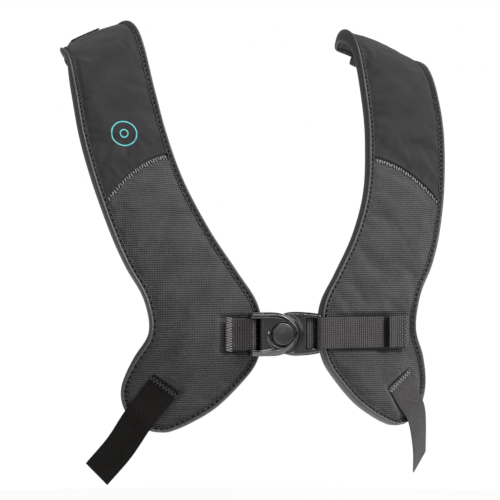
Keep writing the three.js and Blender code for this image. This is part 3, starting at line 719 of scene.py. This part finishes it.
def flap_widths():
    """The flap narrows where the pad is too narrow for its full width."""
    middle = np.linspace(0, 1, 200)
    inner, outer = spline(INNER_EDGE, middle), spline(OUTER_EDGE, middle)
    half, centre = np.linalg.norm(outer - inner, axis=1) / 2, (inner + outer) / 2
    gaps = np.linalg.norm(OUTLINE[:, None] - centre[None], axis=2)
    return np.minimum(FLAP, 0.8 * half[np.argmin(gaps, axis=1)])


def add_binding(side, right):
    """A tape folded round the pad's edge, drawn down at every stitch."""
    width = flap_widths()[:, None]
    section = spline(BINDING_SECTION, np.linspace(0, 1, BINDING_POINTS))
    lining = np.stack([section[:, 0] + 0.11 * (section[:, 0] < 0.6), section[:, 1] * 0.84], axis=1)
    count = len(OUTLINE)
    beat = np.cos(np.arange(count) * 2 * math.pi / STITCH_POINTS)[:, None]

    def skin(shape, dimple):
        share, height = shape[:, 0][None], shape[:, 1][None]
        inset = share * width + 0.28 * beat * smoothstep(share, 0.8, 1.0)
        drawn = dimple * bell((share - STITCH_SHARE) * FLAP, 1.1) * (0.5 + 0.5 * beat)
        height = height - np.sign(height) * drawn
        place = OUTLINE[:, None] + OUTLINE_INWARD[:, None] * inset[..., None]
        return on_pad(place[..., 0], place[..., 1], height)

    run = np.arange(count)[:, None] * OUTLINE_LENGTH / count
    across = run_lengths(section * [FLAP, 1])
    uv = np.stack(np.broadcast_arrays(across[None], run), axis=-1)
    outer, inner = skin(section, 1.3)[:, ::-1], skin(lining, 0.9)[:, ::-1]
    add_sheet(side + "_binding", outer, inner, uv[:, ::-1], ring=True, material=BINDING_CLOTH,
              slot="binding_fabric", body=side + "_half", mirror=right, replaces=[side + "_edge_binding"])
    # One stitch between each two holes, on both faces of the pad.
    width = width[:, 0]
    starts, ends, normals = [], [], []
    for face in (1, -1):
        holes = np.arange(0, count, STITCH_POINTS)
        inset = width * STITCH_SHARE
        line = OUTLINE + OUTLINE_INWARD * inset[:, None]
        places = on_pad(line[:, 0], line[:, 1], np.full(count, face * 4.45))
        ahead = np.roll(places, -STITCH_POINTS, axis=0)
        gap = (ahead - places) * 0.1
        starts.append((places + gap)[holes])
        ends.append((ahead - gap)[holes])
        middle = line[(holes + STITCH_POINTS // 2) % count]
        normals.append(surface_normal(middle[:, 0], middle[:, 1]) * face)
    starts, ends, normals = (np.vstack(part) for part in (starts, ends, normals))
    add_threads(side + "_binding_stitches", starts, ends, normals, 0.5, 0.5, material=DARK_AND_SHADED_THREAD,
                slot="stitching_thread", body=side + "_half", mirror=right)


def add_seam_stitches(side, right):
    """Overlock stitches side by side across the lower side of the panel seam."""
    count = 27
    number = np.arange(count)
    u = (number + 0.5) / count
    lean = (0.3 + 0.22 * np.sin(2.3 * number)) / count
    reach = 4.7 + 0.7 * np.sin(1.7 * number)
    u_top, u_low = 0.035 + 0.93 * (u + lean), 0.035 + 0.93 * (u - lean)
    top_x, top_s = pattern_point(u_top, seam_at(u_top))
    low_x, low_s = pattern_point(u_low, seam_at(u_low))
    top_height = front_height(u_top, seam_at(u_top), right)[2]
    low_height = front_height(u_low, seam_at(u_low) - 0.012, right)[2]
    starts = on_pad(top_x, top_s - 0.4, top_height + 0.3)
    ends = on_pad(low_x, low_s - reach, low_height + 0.55)
    normals = surface_normal((top_x + low_x) / 2, low_s - 2.5)
    add_threads(side + "_seam_stitches", starts, ends, normals, 0.6, 0.3, material=SEAM_THREAD,
                slot="stitching_thread", body=side + "_half", mirror=right, replaces=[side + "_seam_tape"])


# ---------------- webbing
WEBBING_COLUMNS = 60
ROW_PITCH = 0.5
WEAVE_DEPTH = 0.2
SELVEDGE_ANGLE = 0.48 * math.pi  # columns crowd a little towards the selvedges


def webbing_section(thickness, half, run):
    """Across, upper and lower heights of webbing with a rounded selvedge, woven in ribs and rows."""
    even = np.linspace(-1, 1, WEBBING_COLUMNS + 1)
    curved = np.sin(even * SELVEDGE_ANGLE) / math.sin(SELVEDGE_ANGLE)
    share = 0.25 * curved + 0.75 * even
    round_edge = (1 - np.abs(share) ** 10) ** 0.35
    rib = np.abs(np.sin(math.pi * (share + 1) / 2 * RIBS))
    row = 0.5 + 0.5 * np.cos(2 * math.pi * run[:, None] / ROW_WAVE)
    weave = WEAVE_DEPTH * rib[None] * (0.3 + 0.7 * row)
    middle = thickness / 2
    raised = (middle - WEAVE_DEPTH + weave) * round_edge[None]
    return share * half, middle + raised, middle - raised


def add_webbing(name, place, length, thickness=WEBBING_THICKNESS, half=WEBBING / 2,
                material=WEBBING_CLOTH, **facts):
    """Webbing along a path: place(run, across, height) gives a point, run in mm from its start."""
    rows = max(int(round(length / ROW_PITCH)), 4)
    run = np.linspace(0, length, rows + 1)
    across, upper, lower = webbing_section(thickness, half, run)
    grid_run, grid_across = np.broadcast_arrays(run[:, None], across[None])
    uv = np.stack([grid_across + WEBBING / 2, grid_run], axis=-1)
    top, bottom = (place(grid_run, grid_across, height) for height in (upper, lower))
    return add_sheet(name, top, bottom, uv, material=material, slot="webbing", **facts)


def strap_y(x):
    """Chest side of the lowest chest strap: from the adjuster it settles onto the face of the left pad."""
    start = BUCKLE_BACK_Y - 1
    face = mid_surface(x, 90.0)[..., 1] - FACE - 0.25
    return start + (face - start) * smoothstep(x, 20.5, 36.5)


def on_chest_strap(x, rise, z):
    x, rise, z = np.broadcast_arrays(*(np.asarray(v, float) for v in (x, rise, z)))
    return np.stack([x, strap_y(x) - rise, z], axis=-1)


def flat_path(points):
    """Place function for webbing that follows points (x, y) seen from above, its width upright."""
    fine = spline(points, np.linspace(0, 1, 400))
    lengths = run_lengths(fine)

    def at(run):
        return np.stack([np.interp(run, lengths, fine[:, axis]) for axis in range(2)], axis=-1)

    def place(run, across, height):
        point, along = at(run), unit(at(run + 0.2) - at(run - 0.2))
        # The webbing's face is to the right of its way.
        x = point[..., 0] + along[..., 1] * (height - WEBBING_THICKNESS / 2)
        y = point[..., 1] - along[..., 0] * (height - WEBBING_THICKNESS / 2)
        return np.stack([x, y, BUCKLE_Z - across], axis=-1)

    return place, lengths[-1]


def zigzag(place, along, across, pitch, rise):
    """Start and end points of the strands of a zigzag between two runs of along, stepping over across."""
    steps = int(round((across[1] - across[0]) / pitch))
    stops = np.linspace(across[0], across[1], steps + 1)
    ways = np.where(np.arange(steps + 1) % 2 == 0, along[0], along[1])
    points = place(ways, stops, np.full(steps + 1, rise))
    return points[:-1], points[1:]


def add_zigzag(name, place, rows, across, pitch, rise, normal, radius=0.4, thread=SEAM_THREAD, **facts):
    parts = [zigzag(place, row, across, pitch, rise) for row in rows]
    starts, ends = (np.vstack([part[k] for part in parts]) for k in range(2))
    normals = np.broadcast_to(np.asarray(normal, float), starts.shape)
    add_threads(name, starts, ends, normals, radius, 0.2, material=thread, slot="stitching_thread", **facts)


def add_lower_strap(side, right):
    length = np.linalg.norm(np.diff(spline(LOWER_PLACES, np.linspace(0, 1, 200)), axis=0), axis=1).sum()

    def place(run, across, height):
        return on_lower_webbing(run / length, -across, height)

    # The right lower strap and its tack take darker copies of the webbing and the thread: painted shade.
    cloth, thread = (PAINTED_SHADE_WEBBING, DARK_AND_SHADED_THREAD) if right else (WEBBING_CLOTH, SEAM_THREAD)
    facts = {"body": side + "_half", "mirror": right}
    add_webbing(side + "_lower_strap", place, length, material=cloth,
                replaces=[side + "_lower_webbing"], **facts)
    add_zigzag(side + "_lower_tack", place, [(1.2, 6.6)], (-13.2, 13.2), 1.5, WEBBING_THICKNESS + 0.15,
               LOWER_FACINGS[0], thread=thread, replaces=[side + "_lower_bar_tack"], **facts)


def add_rear_loop(side, right):
    """Webbing sewn to both faces of the pad's rear end, with an open fold behind it."""
    radius = FACE + 0.8
    straight, bend = REAR_FOLD_S - REAR_SEWN_S, math.pi * (radius + WEBBING_THICKNESS / 2)

    def place(run, across, height):
        angle = np.clip((run - straight) / bend, 0, 1) * math.pi
        back = np.maximum(run - straight - bend, 0)
        s = REAR_SEWN_S + np.minimum(run, straight) - back
        reach = radius + height
        return on_pad(REAR_LOOP_X + across, s + reach * np.sin(angle), reach * np.cos(angle))

    tack_facing = surface_normal(np.array(REAR_LOOP_X), np.array(REAR_SEWN_S + 4))
    facts = {"body": side + "_half", "mirror": right}
    add_webbing(side + "_rear_strap_loop", place, 2 * straight + bend,
                replaces=[side + "_rear_loop"], **facts)
    add_zigzag(side + "_rear_tack", place, [(2.0, 6.0)], (-12, 12), 1.5, WEBBING_THICKNESS + 0.15,
               tack_facing, replaces=[side + "_rear_bar_tack"], **facts)


for side_name, is_right in (("left", False), ("right", True)):
    add_front_panels(side_name, is_right)
    add_back_pad(side_name, is_right)
    add_binding(side_name, is_right)
    add_seam_stitches(side_name, is_right)
    add_lower_strap(side_name, is_right)
    add_rear_loop(side_name, is_right)


HEM_THICKNESS = 2.6
# The keeper's way: run along it and rise off the lowest strap, a folded lip and then down onto the pad.
KEEPER_RISE = [(0, 4.9), (0.6, 5.5), (2.5, 5.6), (4.6, 4.9), (6.8, 2.3), (8.5, 1.75), (22, 1.7)]


def add_chest_straps():
    """The strap on the left pad, its tail over it, the tail's hem and the keeper that holds it."""
    def strap_place(x0, rise):
        return lambda run, across, height: on_chest_strap(x0 + run, rise + height, BUCKLE_Z - across)

    strap = add_webbing("left_strap", strap_place(STRAP_START_X, 0), KEEPER_END_X - STRAP_START_X,
                        body=None, replaces=["left_chest_strap"])
    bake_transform(strap)
    tail = add_webbing("tail", strap_place(STRAP_START_X, TAIL_RISE), HEM_X[0] - STRAP_START_X,
                       body=None, replaces=["tail_strap"])
    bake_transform(tail)

    def hem_place(run, across, height):
        thinner = WEBBING_THICKNESS / HEM_THICKNESS
        share = thinner + (1 - thinner) * smoothstep(run, 0.5, 4)
        return on_chest_strap(HEM_X[0] + run, TAIL_RISE + height * share, BUCKLE_Z - across)

    # The hem is drawn in the darker copy of the webbing: a painted shadow in front of the keeper's raised
    # lip.
    add_webbing("tail_end_hem", hem_place, HEM_X[1] - HEM_X[0], thickness=HEM_THICKNESS,
                material=PAINTED_SHADE_WEBBING, body="tail_end", replaces=["tail_hem"])

    def keeper_place(run, across, height):
        rise = np.interp(run, *np.transpose(KEEPER_RISE))
        return on_chest_strap(LIP_X + run, rise + height, BUCKLE_Z - across)

    add_webbing("keeper", keeper_place, KEEPER_END_X - LIP_X, thickness=1.9, half=WEBBING / 2 + 0.4,
                body="left_half", replaces=["strap_keeper"])
    add_zigzag("keeper_stitches", keeper_place, [(16.6, 20.6)], (-12.4, 12.4), 1.3, 2.05, (0, -1, 0),
               thread=MIDDLE_THREAD, body="left_half", replaces=["keeper_bar_tack"])


def add_right_chest_loop():
    """Webbing sewn to the right pad that passes round the socket's bar and back under itself."""
    turn = np.radians(np.linspace(-125, 110, 12))
    middle = 2.9
    path = [(-56.5, -0.4), (-53, -1.3), (-48, -2.6), (-43, -5.4)]
    path += [(BAR_X + middle * math.cos(a), BAR_Y + middle * math.sin(a)) for a in turn]
    path += [(-42, -2.6), (-48, -1.2), (-52, -0.2)]
    place, length = flat_path(path)
    add_webbing("right_chest_loop", place, length, body="right_half", replaces=["right_chest_webbing"])
    add_zigzag("right_chest_tack", place, [(0.3, 5.6)], (-13.4, 13.4), 1.0, WEBBING_THICKNESS + 0.3,
               (-0.25, -0.97, 0), radius=0.36, body="right_half", replaces=["right_chest_bar_tack"])


def add_adjuster_wrap():
    """The strap's turn round the plug's bar, from the strap's side to the tail's."""
    turn = [(16.7, 1.7), (12.8, 1.7), (9.7, 1.8), (8.6, 2.9), (8.5, 5.6), (9.5, 6.9),
            (12, 7.0), (13.6, 6.8), (14.7, 5.8), (14.9, 4.4), (15.6, 3.5), (16.8, 3.4)]
    place, length = flat_path([(x, BUCKLE_BACK_Y - depth) for x, depth in turn])

    def outer_face(run, across, height):
        """The same turn with the webbing's face on the outside of the bend."""
        return place(length - run, across, WEBBING_THICKNESS - height)

    add_webbing("adjuster_turn", outer_face, length, body="plug_half", replaces=["adjuster_wrap"])


add_chest_straps()
add_right_chest_loop()
add_adjuster_wrap()


# ---------------- mark on the right pad
MARK_X, MARK_S = 125.2, 256.0
MARK_RINGS = ((9.8, 10.9), (2.6, 3.7))  # inner and outer radius of each ring
MARK_STEPS = 96


def right_cover_height(x, s):
    """Height of the right pad's front at x and s, its place in the pattern found step by step."""
    t = np.full(np.shape(x), 0.75)
    for _ in range(30):
        middle = pattern_point(0.5, t)[1]
        t = np.clip(t + (s - middle) / 700, 0, 1)
    inner, outer = (pattern_point(u, t)[0] for u in (0, 1))
    return front_height((x - inner) / (outer - inner), t, True)[2]


def add_mark():
    """A plain printed ring with a small ring in its middle."""
    angle = np.linspace(0, 2 * math.pi, MARK_STEPS, endpoint=False)
    rings = []
    for radii in MARK_RINGS:
        radius = np.linspace(*radii, 3)
        x = MARK_X + radius[None] * np.sin(angle)[:, None]
        s = MARK_S + radius[None] * np.cos(angle)[:, None]
        lift = right_cover_height(x, s)
        top, bottom = on_pad(x, s, lift + 0.22), on_pad(x, s, lift - 0.25)
        rings.append(np.concatenate([top, bottom[:, ::-1]], axis=1))
    around = rings[0].shape[1]
    quads = loft_faces(MARK_STEPS, around, True)[:, ::-1]
    points = np.vstack([ring.reshape(-1, 3) for ring in rings])
    quads = np.vstack([quads, quads + MARK_STEPS * around])
    add_piece("right_mark", points, quads, TEAL_INK, "emblem_print", "right_half", mirror=True,
              replaces=["emblem"])


add_mark()


# ---------------- buckle
VOXEL = 0.00032
SOCKET_NOSE, SOCKET_HALF = 21.3, 17.3  # the socket's oval, from its centre
SOCKET_FACE, SOCKET_CREST = 9.4, 11.8  # depths of the dished face and of the rim's crest
PLUG_HALF = 17.4
END_BAR_X = 19.4  # middle of the plug's round end bar


def moulded_copy(name, node, material, body, rounds=6, shape=None):
    """A finely meshed copy of a CAD node with rounded edges; shape moves its points, in chest mm."""
    piece = new_object(name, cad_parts[node].data.copy())
    remesh = piece.modifiers.new("Remesh", "REMESH")
    remesh.mode, remesh.voxel_size = "VOXEL", VOXEL
    smooth = piece.modifiers.new("Smooth", "SMOOTH")
    smooth.factor, smooth.iterations = 0.5, rounds
    evaluated = piece.evaluated_get(bpy.context.evaluated_depsgraph_get())
    mesh = bpy.data.meshes.new_from_object(evaluated)
    piece.modifiers.clear()
    piece.data = mesh
    if shape:
        points = np.empty(3 * len(mesh.vertices), np.float32)
        mesh.vertices.foreach_get("co", points)
        points = points.reshape(-1, 3).astype(float) / MM + ROW_ORIGIN
        mesh.vertices.foreach_set("co", to_row(shape(points)).astype(np.float32).ravel())
        mesh.update()
    mesh.materials.clear()
    mesh.materials.append(material)
    mesh.shade_smooth()
    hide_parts(node)
    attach(piece, body)
    return piece


def above(depth, low):
    """Share by which a point near the face of the buckle follows the relief; the walls below stay."""
    return smoothstep(depth, low, low + 0.9)


def socket_relief(points):
    """A rounded rim, wider below than above, round a dished face, and a ridge that curls round the button.

    x, z and depth are millimetres from the chest frame's middle, the buckle's middle and its back.
    """
    x, z = points[:, 0], points[:, 2] - BUCKLE_Z
    depth = BUCKLE_BACK_Y - points[:, 1]
    reach = np.maximum(x - SOCKET_CENTRE_X, 0) / SOCKET_NOSE
    inside = 19 * (1 - np.sqrt(reach**2 + (z / SOCKET_HALF) ** 2))
    on_arms = smoothstep(-x, 20, 30)
    crest = 0.9 + 1.4 * smoothstep(z, 0, 10) + 3.6 * smoothstep(-z, 0, 9) * (1 - 0.35 * on_arms)
    rise = np.sin(np.clip(inside / crest, 0, 1) * math.pi / 2)
    fall = bell(np.maximum(inside - crest, 0), 1.1)
    outer_slope, inner_slope = SOCKET_CREST - 2.9 + 2.9 * rise, SOCKET_CREST - 2.3 + 2.3 * fall
    height = np.where(inside < crest, outer_slope, inner_slope)
    angle = np.degrees(np.arctan2(z, x - BUTTON_X))
    radius = np.hypot(x - BUTTON_X, z)
    curl = 10.9 - np.cos(np.radians(angle))
    upper_left = smoothstep(angle, 60, 100) * (1 - smoothstep(angle, 168, 180))
    ridge = 1.4 * bell(radius - curl, 0.85) * (1 - upper_left)
    height = np.maximum(height, SOCKET_FACE + ridge + 0.35 * bell(x + 29.6, 1.0))
    points[:, 1] = BUCKLE_BACK_Y - (depth + (height - depth) * above(depth, 8.2))
    return points


def plug_relief(points):
    """Rounded sides, a face dished towards the socket, a ridge beside the opening and a round end bar."""
    x, z = points[:, 0], points[:, 2] - BUCKLE_Z
    depth = BUCKLE_BACK_Y - points[:, 1]
    inside = PLUG_HALF - 1.8 * (np.maximum(x + 1, 0) / 20) ** 2 - np.abs(z)
    side = np.sin(np.clip(inside / 1.8, 0, 1) * math.pi / 2)
    nose = np.sqrt((np.maximum(x - SOCKET_CENTRE_X, 0) / 23.2) ** 2 + (z / 17.8) ** 2) - 1
    dish = 8.4 + 1.5 * smoothstep(nose * 20, 0.2, 2.6) + 0.5 * bell(x - 6.3, 0.8)
    rail = 9.9 * smoothstep(inside, 4.2, 2.6)
    end_bar = 7.2 + 3.0 * np.sqrt(np.clip(1 - ((x - END_BAR_X) / 2.3) ** 2, 0, 1))
    beyond_window = x > 17.3
    height = np.where(beyond_window, end_bar, np.maximum(dish, rail)) - 2.4 * (1 - side)
    points[:, 1] = BUCKLE_BACK_Y - (depth + (height - depth) * above(depth, 8.4))
    return points


moulded_copy("socket_shell", "socket_base", BLACK_PLASTIC, "buckle_socket")
moulded_copy("socket_face", "socket_cover", BLACK_PLASTIC, "buckle_socket",
             shape=socket_relief)
moulded_copy("release_cap", "push_button", BUTTON_PLASTIC, "release_button", rounds=3)
moulded_copy("plug_shell", "buckle_plug", BLACK_PLASTIC, "plug_half", shape=plug_relief)
for material_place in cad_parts["latch_plate"].material_slots:
    material_place.material = STEEL


def add_spring():
    """The button's spring stands on the socket's floor."""
    spring = new_object("spring_coil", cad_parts["button_spring"].data.copy())
    spring.data.materials.clear()
    spring.data.materials.append(STEEL)
    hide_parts("button_spring")
    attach(spring, "buckle_socket")
    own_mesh(spring)


add_spring()


# ---------------- floor, light and camera
SKY_LIGHT = 0.3
FLOOR_RADIUS = 2.0
FLOOR_Z = -0.62


def add_stage():
    bpy.ops.mesh.primitive_circle_add(vertices=96, radius=FLOOR_RADIUS, fill_type="NGON",
                                      location=(0, 0, FLOOR_Z))
    floor = bpy.context.object
    floor.name = "floor"
    material, tree = new_material("floor_paper", 0.9)
    fibre = tree.noise(tree.place("Object"), 3.0, 3.0)
    pale = tree.ramp(fibre, [(0.2, (0.98, 0.98, 0.98)), (0.8, (1.0, 1.0, 1.0))])
    tree.link(pale, tree.inputs["Base Color"])
    floor.data.materials.append(material)
    world = bpy.data.worlds.new("studio")
    world.use_nodes = True
    sky = Tree(world)
    # White behind the object, dimmer as a light.
    seen = sky.add("ShaderNodeLightPath").outputs["Is Camera Ray"]
    strength = sky.math("ADD", sky.math("MULTIPLY", seen, 1.0 - SKY_LIGHT), SKY_LIGHT)
    sky.inputs["Color"].default_value = (1, 1, 1, 1)
    sky.link(strength, sky.inputs["Strength"])
    bpy.context.scene.world = world


def add_sun(name, from_direction, strength, degrees):
    lamp = bpy.data.lights.new(name, "SUN")
    lamp.energy, lamp.angle = strength, math.radians(degrees)
    holder = new_object(name, lamp)
    holder.rotation_mode = "QUATERNION"
    holder.rotation_quaternion = Vector(from_direction).to_track_quat("Z", "Y")


def add_light(name, place, target, size, power):
    lamp = bpy.data.lights.new(name, "AREA")
    lamp.shape, lamp.size, lamp.energy = "SQUARE", size, power
    holder = new_object(name, lamp)
    holder.location = place
    holder.rotation_mode = "QUATERNION"
    holder.rotation_quaternion = (Vector(target) - Vector(place)).to_track_quat("-Z", "Y")


def add_camera():
    lens = bpy.data.cameras.new("camera")
    lens.lens, lens.sensor_width = 147.36, 36.0
    lens.clip_start, lens.clip_end = 0.05, 100.0
    camera = bpy.data.objects.new("camera", lens)
    bpy.context.scene.collection.objects.link(camera)
    camera.location = (-0.5922, -1.6547, -0.1843)
    camera.rotation_euler = (math.radians(90), 0, math.radians(-20))
    bpy.context.scene.camera = camera


add_stage()
add_sun("key", (0.75, -0.5, 0.75), 3.0, 16)
add_light("top", (0.2, -0.7, 0.9), (0, -0.1, -0.2), 0.5, 12)
add_light("left", (-1.2, -0.6, 0.5), (0, -0.1, -0.2), 0.3, 3)
add_light("right", (1.3, -0.9, 0.4), (0.1, -0.1, -0.1), 0.4, 10)
add_light("low", (0.3, -1.0, -0.9), (0, -0.1, -0.25), 0.3, 6)
add_camera()
bpy.context.scene.view_settings.view_transform = "Standard"
